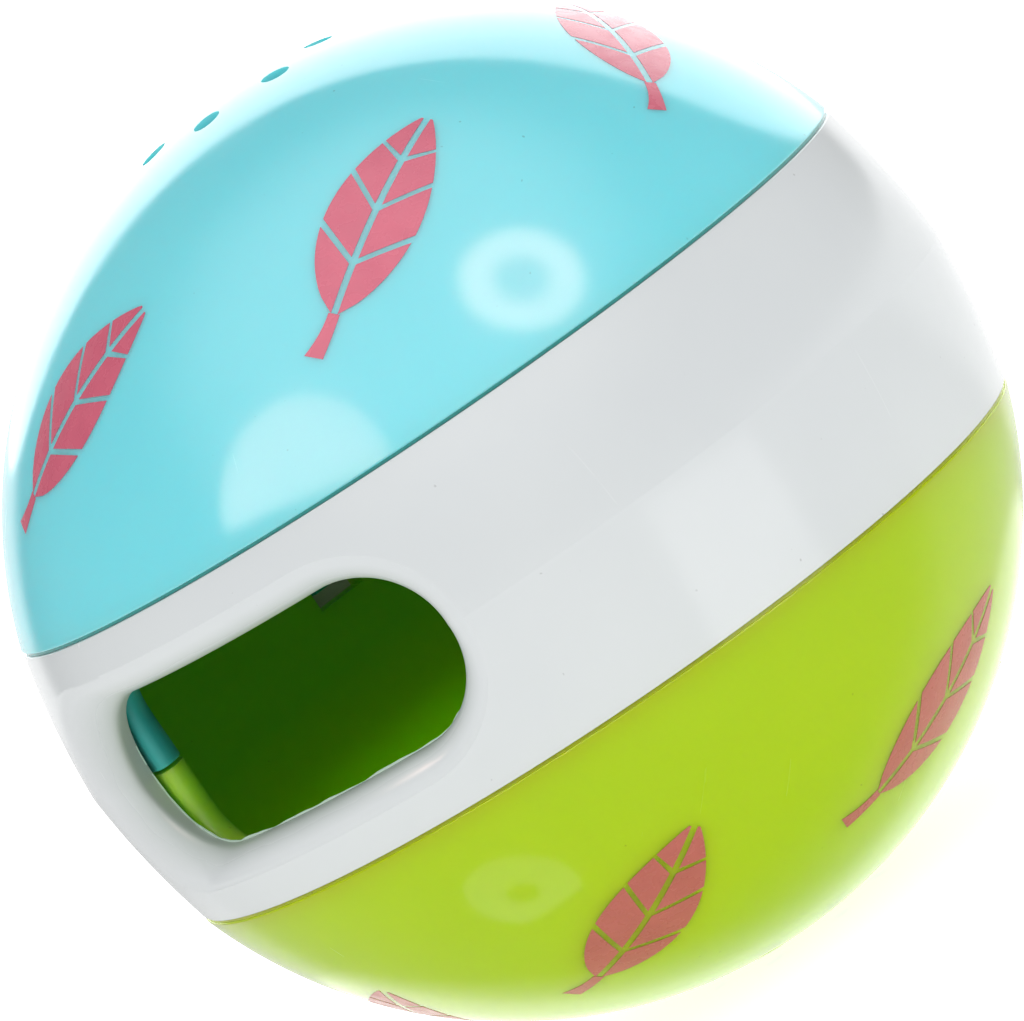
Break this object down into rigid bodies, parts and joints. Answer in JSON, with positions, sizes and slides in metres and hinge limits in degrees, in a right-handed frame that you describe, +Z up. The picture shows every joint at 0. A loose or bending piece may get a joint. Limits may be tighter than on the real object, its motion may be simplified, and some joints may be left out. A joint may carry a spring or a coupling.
{
  "type": "treat dispensing ball",
  "caption": "Hollow plastic ball of two keyed caps with a band that turns between them, so its window opens or shuts over the treat opening and lets food drop out as the ball rolls.",
  "frame": {"origin": "centre of the small flat at the lower pole, which the ball stands on", "axes": "+Z up along the axis the band turns about, with the upper cap on top; the window faces -Y; +X to the right of someone facing the window"},
  "size_m": [0.0696, 0.0685, 0.0698],
  "materials": {
    "lime_plastic": "gloss",
    "cyan_plastic": "gloss",
    "white_plastic": "gloss"
  },
  "bodies": {
    "shell": {"lower_cap": "lime_plastic", "upper_cap": "cyan_plastic"},
    "band": {"window_band": "white_plastic"}
  },
  "joints": [
    {"name": "band_turn", "type": "hinge", "parent": "shell", "child": "band", "pos_m": [0, 0, 0.03489], "axis": [0, 0, 1], "continuous": true}
  ]
}
